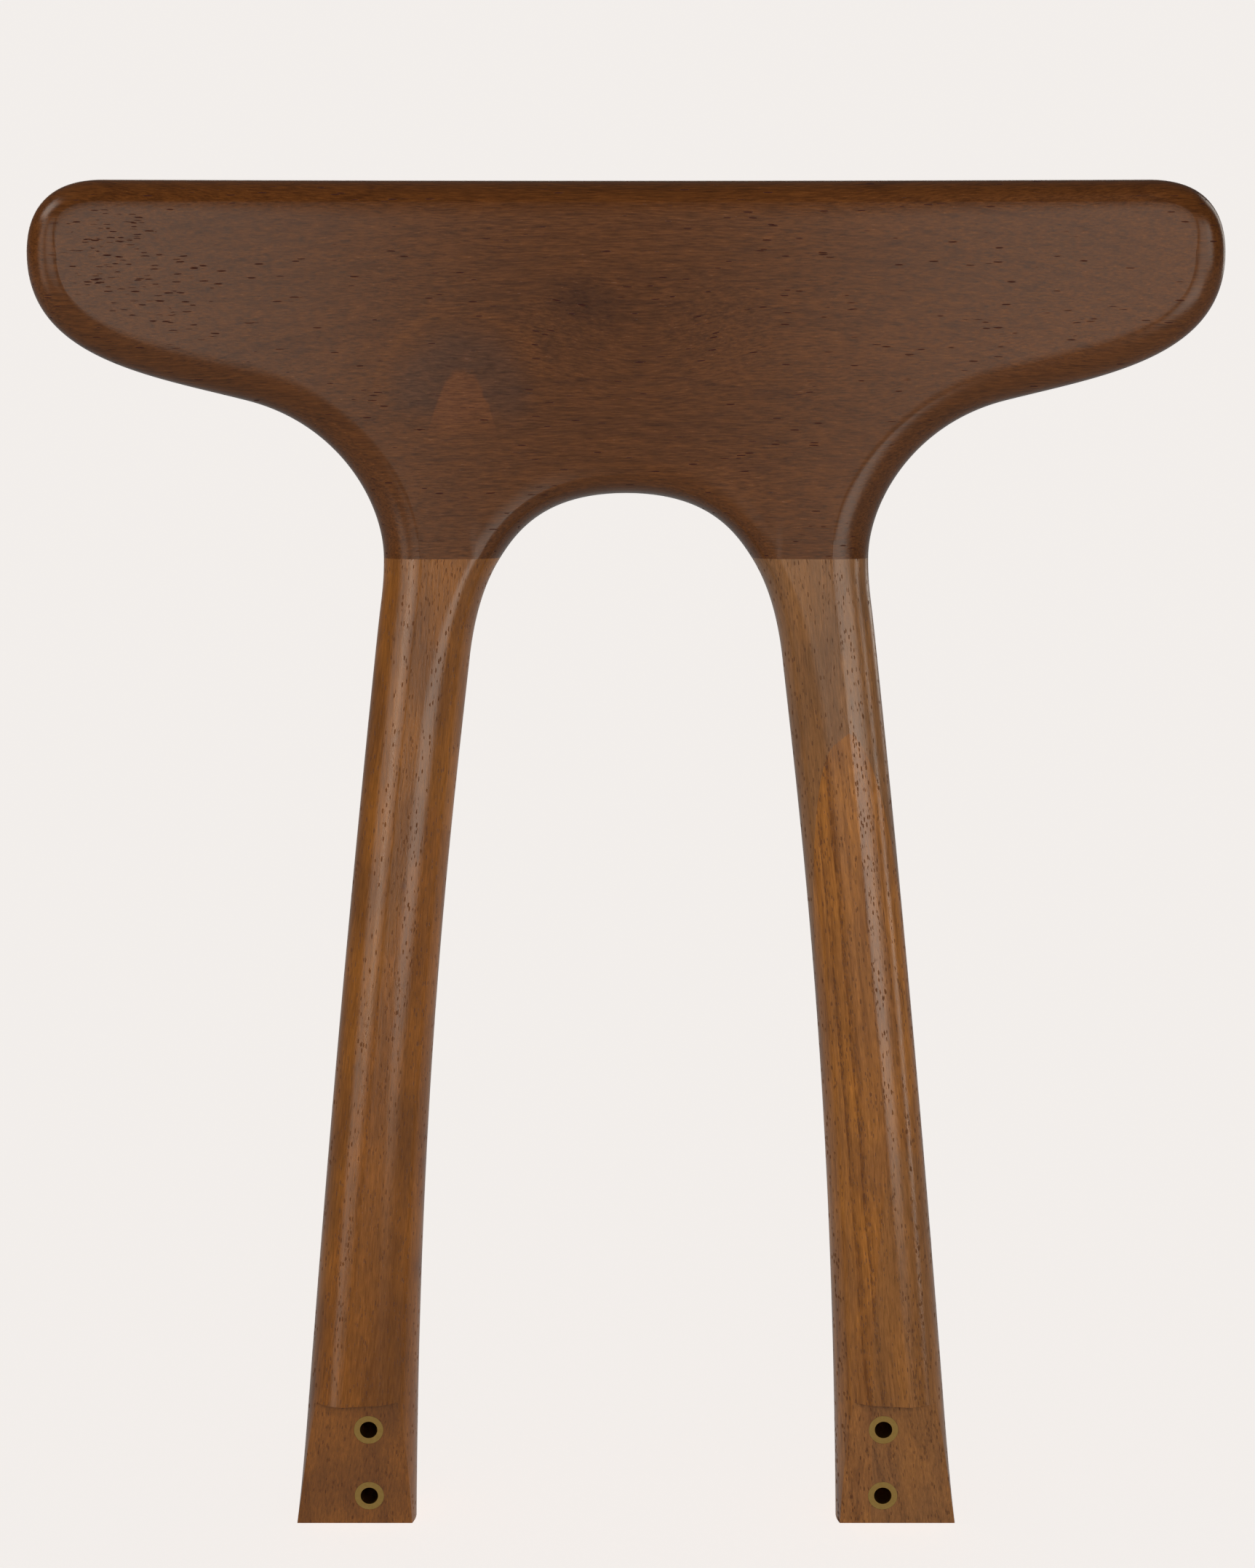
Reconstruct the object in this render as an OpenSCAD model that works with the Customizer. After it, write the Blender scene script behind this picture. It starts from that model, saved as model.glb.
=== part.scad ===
// Carved wooden back of a dining chair: a T-shaped crest rail on two raked posts.
// Each post is carved from two glued boards and joined to the crest rail with two dowels.
// The feet of the posts have flat pads with threaded inserts, which bolt to a seat frame.
// +Y is behind the back and +Z is up. The origin is the centre of the four seat bolts, on the
// plane of the pads. Left and right in names are as seen from the front, so +X is right there.

/* [Back] */
// Width of the crest rail over its rounded ends
crest_w = 400; // [380:1:420]
// Height of the crest rail's top edge above the seat bolts, measured along the rake
top_h = 434.5; // [430:0.5:440]
// Height of the joints between the crest rail and the posts, along the rake
seam_h = 307; // [305:0.5:309]
// Rake: how far the back leans from upright, in degrees
rake = 9.5; // [7:0.5:12]
// Radius of the crest rail's curve, seen from above
sweep_r = 670; // [600:10:800]

/* [Sections] */
// Thickness of the crest rail at its middle
crest_t = 24; // [22:0.5:26]
// How much thinner the crest rail is at its ends
end_thinning = 4; // [2:0.5:5]
// How much deeper the posts are at their feet than at the joints
foot_growth = 12; // [9:0.5:14]
// Width of the rounding along the top edge
top_round = 7.5; // [6.5:0.5:8.5]
// Width of the rounding round the ends and under the arms
under_round = 10.5; // [9.5:0.5:11.5]
// Width of the rounding along the outside of the necks and posts
neck_round = 12.5; // [11.5:0.5:13.5]
// Width of the rounding in the arch
arch_round = 7; // [6:0.5:8]
// Width of the rounding along the inside of the posts
post_round = 14; // [13:0.5:15]
// How sharp a ridge the roundings meet the flat faces at, where 0 is none
ridge = 0.18; // [0:0.02:0.24]

/* [Joints] */
// Diameter of the dowels
dowel_d = 8; // [8:1:10]
// Length of the dowels
dowel_l = 46; // [40:1:50]
// Distance between the two dowels of a joint
dowel_pitch = 15; // [14:0.5:16]
// Lean of the dowels, which follow the posts, in degrees
dowel_lean = 7; // [5:0.5:8]

/* [Feet] */
// Height of the flat pads, which is also that of the hidden feet
pad_h = 44; // [42:1:48]
// Distance between the bolts of the two posts
bolt_span = 176; // [172:1:180]
// Distance between the two bolts of one post
bolt_pitch = 24; // [22:1:25]
// Diameter of the bolts' thread
bolt_d = 6; // [5:1:6]
// Outside diameter of the threaded inserts
insert_d = 10; // [9:0.5:11]
// Length of the threaded inserts
insert_l = 15; // [12:1:16]

/* [Hidden] */

crest_colour = [0.33, 0.21, 0.14];
post_colour = [0.50, 0.32, 0.19];
lighter_board = [0.55, 0.36, 0.21];
dowel_colour = [0.80, 0.66, 0.45];
insert_colour = [0.80, 0.68, 0.38];

glue_gap = 0.05;      // radial room for glue round a dowel and thread round an insert
rim_land = 0.6;       // half the flat land along the edge, where front and back roundings meet
pad_cut = 4.5;        // how deep the pads are cut into the posts at their tops
foot_end = -25;       // height where the posts' outlines end, just below the cut feet
growth_top = 300;     // height above which the posts are no deeper than the crest rail
bolt_faces = 48;      // sides of the round holes, dowels and inserts

// Heights between which one width of rounding blends into the next
top_blend = [top_h - 26, top_h - 8];        // from under the arms to the top edge
arm_blend = [seam_h + 10, seam_h + 55];     // from the necks to under the arms
arch_blend = [seam_h - 60, seam_h + 15];    // from inside the posts to the arch
ridge_blend = [seam_h - 30, seam_h + 15];   // and from no ridge there to the arch's ridge

// The glue plane of each post: [the point where it leaves the front of the post, its lean,
// its turn about the post]. The two posts were sawn from different blanks
left_glue = [[63, 218], 6, -35];
right_glue = [[70, 243.5], 7, 0];

// --- Outline, seen square to the raked back: u is sideways from the middle, w is height ---

nose = [crest_w / 2, top_h - 24.5];
top_bend = [crest_w / 2 - 25, top_h];
arm_bend = [128, seam_h + 53.5];
outer_corner = [82.2, seam_h];
outer_neck_end = [84.6, seam_h - 27];
outer_knee = [107.1, 40];
outer_foot = [113, foot_end];
arch_top = [0, seam_h + 21.8];
inner_corner = [42.7, seam_h];
inner_neck_end = [53.1, seam_h - 33];
inner_foot = [72.2, foot_end];

// Curves run clockwise round the right half, so that the wood lies on their right
end_top = [top_bend, top_bend + [23, 0], nose + [0, 8], nose];
end_low = [nose, nose - [0, 35], arm_bend + [33, 8.6], arm_bend];
outer_neck = [arm_bend, arm_bend - [31, 8], outer_corner + [0, 18.5], outer_corner];
arch = [inner_corner, inner_corner + [-6, 9.6], arch_top + [27, 0], arch_top];

// The posts' curves run down from the joint
outer_neck_foot = [outer_corner, outer_corner - [0, 10], outer_neck_end + [-1.6, 15],
                   outer_neck_end];
outer_leg = [outer_neck_end, outer_neck_end + [8.6, -80], outer_knee + [-6.4, 80], outer_knee];
outer_flare = [outer_knee, outer_knee + [1.7, -20], outer_foot + [-2.6, 20], outer_foot];
inner_neck_foot = [inner_corner, inner_corner + [6, -9.5], inner_neck_end + [-1.5, 12],
                   inner_neck_end];
inner_leg = [inner_neck_end, inner_neck_end + [7, -62], inner_foot + [-1.3, 150], inner_foot];

function at(c, t) =
    (1 - t)^3 * c[0] + 3 * (1 - t)^2 * t * c[1] + 3 * (1 - t) * t^2 * c[2] + t^3 * c[3];
function inward(c, t) =
    let (v = (1 - t)^2 * (c[1] - c[0]) + 2 * (1 - t) * t * (c[2] - c[1]) + t^2 * (c[3] - c[2]))
    [v.y, -v.x] / norm(v);
function steps(n) = [for (i = [0:n]) i / n];

// The posts' outlines, from 0 at the joint to 1 at the foot
neck_share = 0.16;      // where the curve of the neck ends
knee_share = 0.8;       // where the flare of the foot starts
function part_way(t, from, to) = (t - from) / (to - from);
function outer_post(t) = t < neck_share ? at(outer_neck_foot, t / neck_share)
    : t < knee_share ? at(outer_leg, part_way(t, neck_share, knee_share))
    : at(outer_flare, part_way(t, knee_share, 1));
function inner_post(t) = t < neck_share ? at(inner_neck_foot, t / neck_share)
    : at(inner_leg, part_way(t, neck_share, 1));

outer_line = concat([[0, top_h]], [for (t = steps(12)) at(end_top, t)],
                    [for (t = steps(16)) at(end_low, t)], [for (t = steps(14)) at(outer_neck, t)],
                    [for (t = steps(24)) outer_post(t)]);
inner_line = concat([for (t = steps(12)) at(arch, 1 - t)], [for (t = steps(24)) inner_post(t)]);

// --- Surfaces: how far the front and back lie from the curved middle of the wood ---

function ramp(x, a, b) = let (s = min(1, max(0, (x - a) / (b - a)))) s * s * (3 - 2 * s);
function blend(from, to, w, heights) = mix(from, to, ramp(w, heights[0], heights[1]));
function mix(a, b, s) = a + (b - a) * s;

function segment_distance(p, a, b) =
    let (ab = b - a, t = min(1, max(0, ((p - a) * ab) / max(ab * ab, 1e-9))))
    norm(p - a - t * ab);
function line_distance(p, line) =
    min([for (i = [0:len(line) - 2]) segment_distance(p, line[i], line[i + 1])]);

function outer_round(w) = w > top_blend[0] ? blend(under_round, top_round, w, top_blend)
    : blend(neck_round, under_round, w, arm_blend);
function inner_round(w) = blend(post_round, arch_round, w, arch_blend);
function inner_ridge(w) = blend(0, ridge, w, ridge_blend);
// From 0 at the edge to 1 where a rounding of width r meets the face
function rounding(d, r, ridge) =
    let (s = mix(1, ridge, min(1, d / r))) sqrt((1 - s * s) / (1 - ridge * ridge));

function thickness(u, w) =
    crest_t - end_thinning * (u / (crest_w / 2))^2 * ramp(w, seam_h, seam_h + 40)
    + foot_growth * max(0, 1 - w / growth_top)^2;
function middle(u) = -u * u / (2 * sweep_r);

// [u, w, depth of the front, depth of the back] for a point inside the outline
function wall(p, on_rim) =
    let (half = thickness(p.x, p.y) / 2
             * rounding(line_distance(p, outer_line), outer_round(p.y), ridge)
             * rounding(line_distance(p, inner_line), inner_round(p.y), inner_ridge(p.y)),
         depth = on_rim ? rim_land : max(rim_land, half))
    [p.x, p.y, middle(p.x) - depth, middle(p.x) + depth];

// --- Rings: each crosses the wood from one edge to the other, and a loft joins them ---

band_n = 6;     // points across a rounding
face_n = 6;     // spans across the face between two roundings

function across(from, from_in, to_in, to) = concat(
    [for (k = [0:band_n - 1]) mix(from, from_in, 1 - cos(90 * k / band_n))],
    [for (k = [0:face_n]) mix(from_in, to_in, k / face_n)],
    [for (k = [band_n - 1:-1:0]) mix(to, to_in, 1 - cos(90 * k / band_n))]);
// Where the rounding from an edge point meets the face. way points into the wood
function outer_crease(p, way) = p + outer_round(p.y + outer_round(p.y) * way.y) * way;
function inner_crease(p, way) = p + inner_round(p.y) * way;
function ring(path, open_end = false) =
    [for (i = [0:len(path) - 1]) wall(path[i], i == 0 || (i == len(path) - 1 && !open_end))];
function mirrored(r) = [for (p = r) [-p.x, p.y, p[2], p[3]]];

function solid_points(rings) = [
    for (r = rings) concat([for (p = r) [p.x, p[2], p.y]],
                           [for (i = [len(r) - 1:-1:0]) [r[i].x, r[i][3], r[i].y]])];
function corners_differ(pts, f) =
    norm(pts[f[0]] - pts[f[1]]) > 1e-4 && norm(pts[f[1]] - pts[f[2]]) > 1e-4
    && norm(pts[f[0]] - pts[f[2]]) > 1e-4;

// A closed solid through the rings. Ends that aren't drawn to a line are closed flat
module loft(rings, flat_ends) {
    loops = solid_points(rings);
    n = len(loops[0]);
    pts = [for (l = loops) for (p = l) p];
    sides = [for (i = [0:len(loops) - 2]) for (j = [0:n - 1])
        let (a = i * n + j, b = i * n + (j + 1) % n)
        for (f = [[a, b, b + n], [a, b + n, a + n]]) if (corners_differ(pts, f)) f];
    last = (len(loops) - 1) * n;
    half = n / 2;
    caps = [for (j = [0:half - 2]) let (k = n - 1 - j)
        for (f = [[j, k, k - 1], [j, k - 1, j + 1],
                  [last + j, last + k - 1, last + k], [last + j, last + j + 1, last + k - 1]])
            if (flat_ends && corners_differ(pts, f)) f];
    polyhedron(pts, concat(sides, caps), convexity = 6);
}

// --- Crest rail rings, from the right end to the middle ---

arm_n = 16;     // rings from the end to the arm's inflection
neck_n = 12;    // rings from there to the joint
arch_n = 8;     // rings over half the arch
// Where the rings reach the top edge: the neck's last, the joint's first and last, the arch's first
neck_reach = 76;
joint_reach = [74, 56];
arch_reach = 54;

arm_rings = [for (t = steps(arm_n))
    let (hi = at(end_top, 1 - t), lo = at(end_low, t))
    ring(across(hi, outer_crease(hi, inward(end_top, 1 - t)),
                outer_crease(lo, inward(end_low, t)), lo))];
neck_rings = [for (i = [1:neck_n])
    let (t = i / neck_n, hi = [mix(top_bend.x, neck_reach, t), top_h], lo = at(outer_neck, t))
    ring(across(hi, outer_crease(hi, [0, -1]), outer_crease(lo, inward(outer_neck, t)), lo))];
joint_rings = [for (t = steps(face_n))
    let (hi = [mix(joint_reach[0], joint_reach[1], t), top_h],
         lo = mix(outer_crease(outer_corner, [-1, 0]), inner_crease(inner_corner, [1, 0]), t))
    ring(across(hi, outer_crease(hi, [0, -1]), lo, lo), open_end = true)];
arch_rings = [for (t = steps(arch_n))
    let (hi = [mix(arch_reach, 0, t), top_h], lo = at(arch, t),
         way = mix([1, 0], inward(arch, t), ramp(t, 0, 0.3)))
    ring(across(hi, outer_crease(hi, [0, -1]), inner_crease(lo, way / norm(way)), lo))];
half_rings = concat(arm_rings, neck_rings, joint_rings, arch_rings);
crest_rings = concat(half_rings,
                     [for (i = [len(half_rings) - 2:-1:0]) mirrored(half_rings[i])]);

// --- Post rings, from the joint down to the foot ---

post_n = 22;
post_rings = [for (t = steps(post_n))
    let (out = outer_post(t), in = inner_post(t), way = (in - out) / norm(in - out))
    ring(across(in, inner_crease(in, -way), outer_crease(out, way), out))];

// --- Placing: the raked back is carved upright and then leant back over the bolts ---

function pad_setback() = thickness(0, 0) / 2 - middle(bolt_span / 2)
    - pad_h / 2 * tan(rake) - pad_cut;
module raked() translate([0, pad_setback(), 0]) rotate([-rake, 0, 0]) children();

module each_side(side) mirror([side < 0 ? 1 : 0, 0, 0]) children();

module dowel_at(x_offset, d, l) {
    middle_x = (outer_corner.x + inner_corner.x) / 2;
    translate([middle_x + x_offset, middle(middle_x), seam_h])
        rotate([0, -dowel_lean, 0]) cylinder(d = d, h = l, center = true, $fn = bolt_faces);
}
module dowel_holes() for (side = [-1, 1], x = [-0.5, 0.5] * dowel_pitch)
    each_side(side) dowel_at(x, dowel_d + 2 * glue_gap, dowel_l + 2);

module insert_at(z, d, l, from) translate([bolt_span / 2, from, z])
    rotate([-90, 0, 0]) cylinder(d = d, h = l, $fn = bolt_faces);

// --- Sub-parts ---

module crest_rail() color(crest_colour) raked() difference() {
    loft(crest_rings, false);
    dowel_holes();
}

module post() difference() {
    raked() loft(post_rings, true);
    raked() dowel_holes();
    translate([0, -100, -50]) cube([200, 100, 50 + pad_h / 2]);
    translate([0, -100, -50 - pad_h / 2]) cube([200, 200, 50]);
    for (z = [-0.5, 0.5] * bolt_pitch)
        insert_at(z, insert_d + 2 * glue_gap, insert_l + 6, -1);
}

// Everything in front of a glue plane, up to just above the tip of the front board
module in_front(glue) raked()
    translate([glue[0].x, wall(glue[0], false)[2], glue[0].y])
        rotate([glue[1], 0, glue[2]]) translate([-150, -100, -400]) cube([300, 100, 440]);

module front_board(side, glue, tint) color(tint) each_side(side)
    intersection() { post(); in_front(glue); }
module back_board(side, glue, tint) color(tint) each_side(side)
    difference() { post(); in_front(glue); }

module dowel(side, x) color(dowel_colour) each_side(side) raked()
    dowel_at(x * dowel_pitch / 2, dowel_d, dowel_l);

module threaded_insert(side, z) color(insert_colour) each_side(side) difference() {
    insert_at(z * bolt_pitch / 2, insert_d, insert_l, 0);
    insert_at(z * bolt_pitch / 2, bolt_d, insert_l + 2, -1);
    for (groove = [3:2.5:insert_l - 2])
        translate([bolt_span / 2, groove, z * bolt_pitch / 2]) rotate([-90, 0, 0])
            difference() {
                cylinder(d = insert_d + 1, h = 1, $fn = bolt_faces);
                translate([0, 0, -0.5]) cylinder(d = insert_d - 1.2, h = 2, $fn = bolt_faces);
            }
}

crest_rail();
front_board(-1, left_glue, post_colour);  // left_post_front_board
back_board(-1, left_glue, post_colour);  // left_post_back_board
front_board(1, right_glue, lighter_board);  // right_post_front_board
back_board(1, right_glue, post_colour);  // right_post_back_board
dowel(-1, -1);  // left_inner_dowel
dowel(-1, 1);  // left_outer_dowel
dowel(1, -1);  // right_inner_dowel
dowel(1, 1);  // right_outer_dowel
threaded_insert(-1, 1);  // left_upper_insert
threaded_insert(-1, -1);  // left_lower_insert
threaded_insert(1, 1);  // right_upper_insert
threaded_insert(1, -1);  // right_lower_insert
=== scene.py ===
import math

import bmesh
import bpy
import numpy as np
from mathutils import Matrix, Vector
from mathutils.bvhtree import BVHTree
from mathutils.interpolate import poly_3d_calc


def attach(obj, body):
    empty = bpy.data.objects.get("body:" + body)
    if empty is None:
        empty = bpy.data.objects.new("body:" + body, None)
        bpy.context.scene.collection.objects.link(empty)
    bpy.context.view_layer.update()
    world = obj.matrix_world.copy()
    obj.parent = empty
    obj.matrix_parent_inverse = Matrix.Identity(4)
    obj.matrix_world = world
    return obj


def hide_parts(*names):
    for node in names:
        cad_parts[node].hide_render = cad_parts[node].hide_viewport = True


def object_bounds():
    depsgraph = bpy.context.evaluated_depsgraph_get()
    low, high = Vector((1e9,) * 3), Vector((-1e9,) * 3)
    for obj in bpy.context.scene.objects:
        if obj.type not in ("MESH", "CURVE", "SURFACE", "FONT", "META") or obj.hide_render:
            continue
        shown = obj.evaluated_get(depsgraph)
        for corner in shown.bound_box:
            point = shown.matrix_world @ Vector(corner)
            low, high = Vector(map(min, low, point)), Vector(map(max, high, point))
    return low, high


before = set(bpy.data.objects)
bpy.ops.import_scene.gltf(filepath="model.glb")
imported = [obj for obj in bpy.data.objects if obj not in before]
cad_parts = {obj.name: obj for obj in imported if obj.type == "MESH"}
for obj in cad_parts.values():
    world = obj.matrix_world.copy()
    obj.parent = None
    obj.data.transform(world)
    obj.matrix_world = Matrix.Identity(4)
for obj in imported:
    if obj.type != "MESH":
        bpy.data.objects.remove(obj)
cad_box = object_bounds()

MM = 0.001

# ---------------------------------------------------------------------------------------------
# The carved shape, in millimetres: the same outline and surfaces as the CAD model, cut finer.
# Points have u, sideways from the middle, and w, height along the rake. Depth is positive
# backwards. The right half is drawn: the crest rail's curves run clockwise, with the wood on
# their right, and the posts' curves run down from the joint.
# ---------------------------------------------------------------------------------------------

RAKE = math.radians(9.5)
SWEEP_R = 670
HALF_CREST = 200
TOP_H, SEAM_H, FOOT_END = 434.5, 307, -25
CREST_T, END_THINNING, FOOT_GROWTH = 24, 4, 12
GROWTH_TOP = 300
TOP_ROUND, UNDER_ROUND, NECK_ROUND, ARCH_ROUND, POST_ROUND = 7.5, 10.5, 12.5, 7, 14
RIDGE = 0.18
RIM_LAND = 0.6
PAD_H, PAD_CUT, BOLT_SPAN, BOLT_PITCH = 44, 4.5, 176, 24
DOWEL_D, DOWEL_PITCH, DOWEL_LEAN = 8, 15, math.radians(7)
INSERT_D = 10
GLUE_GAP = 0.05
DOWEL_BORE_L, INSERT_BORE_L, INSERT_BORE_Y = 48, 22, 10
BORE_SIDES = 48

# Heights between which one width of rounding, or one thickness, blends into the next
TOP_BLEND = (TOP_H - 26, TOP_H - 8)
ARM_BLEND = (SEAM_H + 10, SEAM_H + 55)
ARCH_BLEND = (SEAM_H - 60, SEAM_H + 15)
RIDGE_BLEND = (SEAM_H - 30, SEAM_H + 15)
THINNING_BLEND = (SEAM_H, SEAM_H + 40)

# The glue plane of each post: the point where it leaves the front of the post, and its lean
# and its turn about the post in degrees
LEFT_GLUE = ((63, 218), 6, -35)
RIGHT_GLUE = ((70, 243.5), 7, 0)

NOSE = (HALF_CREST, TOP_H - 24.5)
TOP_BEND = (HALF_CREST - 25, TOP_H)
ARM_BEND = (128, SEAM_H + 53.5)
OUTER_CORNER, INNER_CORNER = (82.2, SEAM_H), (42.7, SEAM_H)
OUTER_NECK_END, INNER_NECK_END = (84.6, SEAM_H - 27), (53.1, SEAM_H - 33)
OUTER_KNEE, OUTER_FOOT, INNER_FOOT = (107.1, 40), (113, FOOT_END), (72.2, FOOT_END)
ARCH_TOP = (0, SEAM_H + 21.8)
NECK_SHARE, KNEE_SHARE = 0.16, 0.8


def curve(start, start_pull, end_pull, end):
    """A cubic curve's four points, from its ends and how far each end's handle pulls."""
    start, end = np.array(start, float), np.array(end, float)
    return np.array([start, start + start_pull, end + end_pull, end])


END_TOP = curve(TOP_BEND, (23, 0), (0, 8), NOSE)
END_LOW = curve(NOSE, (0, -35), (33, 8.6), ARM_BEND)
OUTER_NECK = curve(ARM_BEND, (-31, -8), (0, 18.5), OUTER_CORNER)
ARCH = curve(INNER_CORNER, (-6, 9.6), (27, 0), ARCH_TOP)
OUTER_POST = [
    (0, NECK_SHARE, curve(OUTER_CORNER, (0, -10), (-1.6, 15), OUTER_NECK_END)),
    (NECK_SHARE, KNEE_SHARE, curve(OUTER_NECK_END, (8.6, -80), (-6.4, 80), OUTER_KNEE)),
    (KNEE_SHARE, 1, curve(OUTER_KNEE, (1.7, -20), (-2.6, 20), OUTER_FOOT)),
]
INNER_POST = [
    (0, NECK_SHARE, curve(INNER_CORNER, (6, -9.5), (-1.5, 12), INNER_NECK_END)),
    (NECK_SHARE, 1, curve(INNER_NECK_END, (7, -62), (-1.3, 150), INNER_FOOT)),
]


def at(c, t):
    """The point at t, from 0 to 1, on a cubic curve. t may be an array."""
    t = np.asarray(t, float)[..., None]
    s = 1 - t
    return s**3 * c[0] + 3 * s * s * t * c[1] + 3 * s * t * t * c[2] + t**3 * c[3]


def inward(c, t):
    """The unit normal at t on the curve's right, where the wood lies."""
    s = 1 - t
    v = s * s * (c[1] - c[0]) + 2 * s * t * (c[2] - c[1]) + t * t * (c[3] - c[2])
    return np.array([v[1], -v[0]]) / np.hypot(*v)


def along(pieces, t):
    """The point at t on a chain of curves, each given with the span of t that it covers."""
    for low, high, c in pieces:
        if t <= high:
            return at(c, (t - low) / (high - low))
    return pieces[-1][2][3]


# Steps on each curve of a polyline, the length of a stretch that is no more than a point, and
# how many points are measured at a time
LINE_STEPS = 160
SAME_POINT = 1e-6
CHUNK = 1500


def polyline(parts):
    """One fine polyline through curves and plain points."""
    fine = np.linspace(0, 1, LINE_STEPS + 1)
    return np.vstack([at(p, fine) if p.shape == (4, 2) else p[None] for p in parts])


OUTER_LINE = polyline([np.array([0.0, TOP_H]), END_TOP, END_LOW, OUTER_NECK]
                      + [c for _, _, c in OUTER_POST])
INNER_LINE = polyline([ARCH[::-1]] + [c for _, _, c in INNER_POST])


def ramp(x, a, b):
    """From 0 at a to 1 at b, flat at both ends."""
    s = np.clip((x - a) / (b - a), 0, 1)
    return s * s * (3 - 2 * s)


def mix(a, b, s):
    """From a, where s is 0, to b, where s is 1."""
    return a + (b - a) * s


def line_distance(points, line):
    """The distance of each point from the nearest stretch of a polyline, in chunks of points
    that fit in memory."""
    a = line[:-1]
    ab = line[1:] - a
    keep = (ab**2).sum(1) > SAME_POINT**2
    a, ab = a[keep], ab[keep]
    out = []
    for chunk in np.array_split(points, max(1, len(points) // CHUNK)):
        ap = chunk[:, None] - a
        t = np.clip((ap * ab).sum(2) / (ab**2).sum(1), 0, 1)
        out.append(np.sqrt(((ap - t[..., None] * ab) ** 2).sum(2).min(1)))
    return np.concatenate(out)


def outer_round(w):
    """How wide the rounding along the outer edge is at a height."""
    top = mix(UNDER_ROUND, TOP_ROUND, ramp(w, *TOP_BLEND))
    low = mix(NECK_ROUND, UNDER_ROUND, ramp(w, *ARM_BLEND))
    return np.where(w > TOP_BLEND[0], top, low)


def inner_round(w):
    """How wide the rounding along the arch and the posts' inner sides is at a height."""
    return mix(POST_ROUND, ARCH_ROUND, ramp(w, *ARCH_BLEND))


def rounding(d, r, ridge):
    """From 0 at the edge to 1 where a rounding of width r meets the face, with a soft ridge."""
    s = mix(1, ridge, np.minimum(1, d / r))
    return np.sqrt((1 - s * s) / (1 - ridge * ridge))


def middle(u):
    """The depth of the middle of the wood, which sweeps forwards to both ends."""
    return -u * u / (2 * SWEEP_R)


def thickness(u, w):
    """From front to back: thinner at the crest rail's ends, and thicker down the posts."""
    thinning = END_THINNING * (u / HALF_CREST) ** 2 * ramp(w, *THINNING_BLEND)
    return CREST_T - thinning + FOOT_GROWTH * np.maximum(0, 1 - w / GROWTH_TOP) ** 2


def wall(points):
    """The depths of the front and the back of the wood at points inside the outline."""
    u, w = points[:, 0], points[:, 1]
    d_out, d_in = line_distance(points, OUTER_LINE), line_distance(points, INNER_LINE)
    inner_ridge = RIDGE * ramp(w, *RIDGE_BLEND)
    half = (thickness(u, w) / 2 * rounding(d_out, outer_round(w), RIDGE)
            * rounding(d_in, inner_round(w), inner_ridge))
    depth = np.maximum(RIM_LAND, half)
    return middle(u) - depth, middle(u) + depth


# --- Rings, each across the wood from one edge to the other, and the lofts through them ---

# How many steps a path makes over a rounding and over a face, and how many paths the arm, the
# neck, the arch and the post have. The joint has FACE_N, one for each step on the post's end
BAND_N, FACE_N = 16, 16
ARM_N, NECK_N, ARCH_N, POST_N = 56, 40, 24, 120

# Where on the top edge those paths start that end on the neck, on the joint and on the arch,
# and the share of the arch on which its paths still turn
NECK_PATHS_END, JOINT_PATHS, ARCH_PATHS_START = 76, (74, 56), 54
ARCH_TURN = 0.3


def across(edge, edge_in, far_in, far):
    """Points from edge to far, close together in the two roundings."""
    curl = 1 - np.cos(np.linspace(0, np.pi / 2, BAND_N + 1))[:, None]
    first = mix(np.array(edge), np.array(edge_in), curl)
    face = mix(np.array(edge_in), np.array(far_in), np.linspace(0, 1, FACE_N + 1)[:, None])
    last = mix(np.array(far), np.array(far_in), curl)[::-1]
    return np.vstack([first[:-1], face, last[1:]])


def outer_crease(p, way):
    """Where the rounding from an outer edge point meets the face. way points into the wood."""
    return p + outer_round(p[1] + outer_round(p[1]) * way[1]) * way


def inner_crease(p, way):
    """Where the rounding from an inner edge point meets the face. way points into the wood."""
    return p + inner_round(p[1]) * way


def crest_rings():
    """Paths across the crest rail, from its right end to its middle, then mirrored."""
    down, sideways = np.array([0.0, -1.0]), np.array([1.0, 0.0])
    corners = np.array([OUTER_CORNER, INNER_CORNER], float)
    paths = []
    for t in np.linspace(0, 1, ARM_N + 1):
        high, low = at(END_TOP, 1 - t), at(END_LOW, t)
        paths.append(across(high, outer_crease(high, inward(END_TOP, 1 - t)),
                            outer_crease(low, inward(END_LOW, t)), low))
    for t in np.linspace(0, 1, NECK_N + 1)[1:]:
        high, low = np.array([mix(TOP_BEND[0], NECK_PATHS_END, t), TOP_H]), at(OUTER_NECK, t)
        paths.append(across(high, outer_crease(high, down),
                            outer_crease(low, inward(OUTER_NECK, t)), low))
    for t in np.linspace(0, 1, FACE_N + 1):
        high = np.array([mix(*JOINT_PATHS, t), TOP_H])
        low = mix(outer_crease(corners[0], -sideways), inner_crease(corners[1], sideways), t)
        paths.append(across(high, outer_crease(high, down), low, low))
    for t in np.linspace(0, 1, ARCH_N + 1):
        high, low = np.array([mix(ARCH_PATHS_START, 0, t), TOP_H]), at(ARCH, t)
        way = mix(sideways, inward(ARCH, t), ramp(t, 0, ARCH_TURN))
        paths.append(across(high, outer_crease(high, down),
                            inner_crease(low, way / np.hypot(*way)), low))
    return paths + [p * [-1, 1] for p in paths[-2::-1]]


def post_rings():
    """Paths across the right post, from the joint down to the foot."""
    paths = []
    for t in np.linspace(0, 1, POST_N + 1):
        out, inner = along(OUTER_POST, t), along(INNER_POST, t)
        way = (inner - out) / np.hypot(*(inner - out))
        paths.append(across(inner, inner_crease(inner, -way), outer_crease(out, way), out))
    return paths


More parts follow.
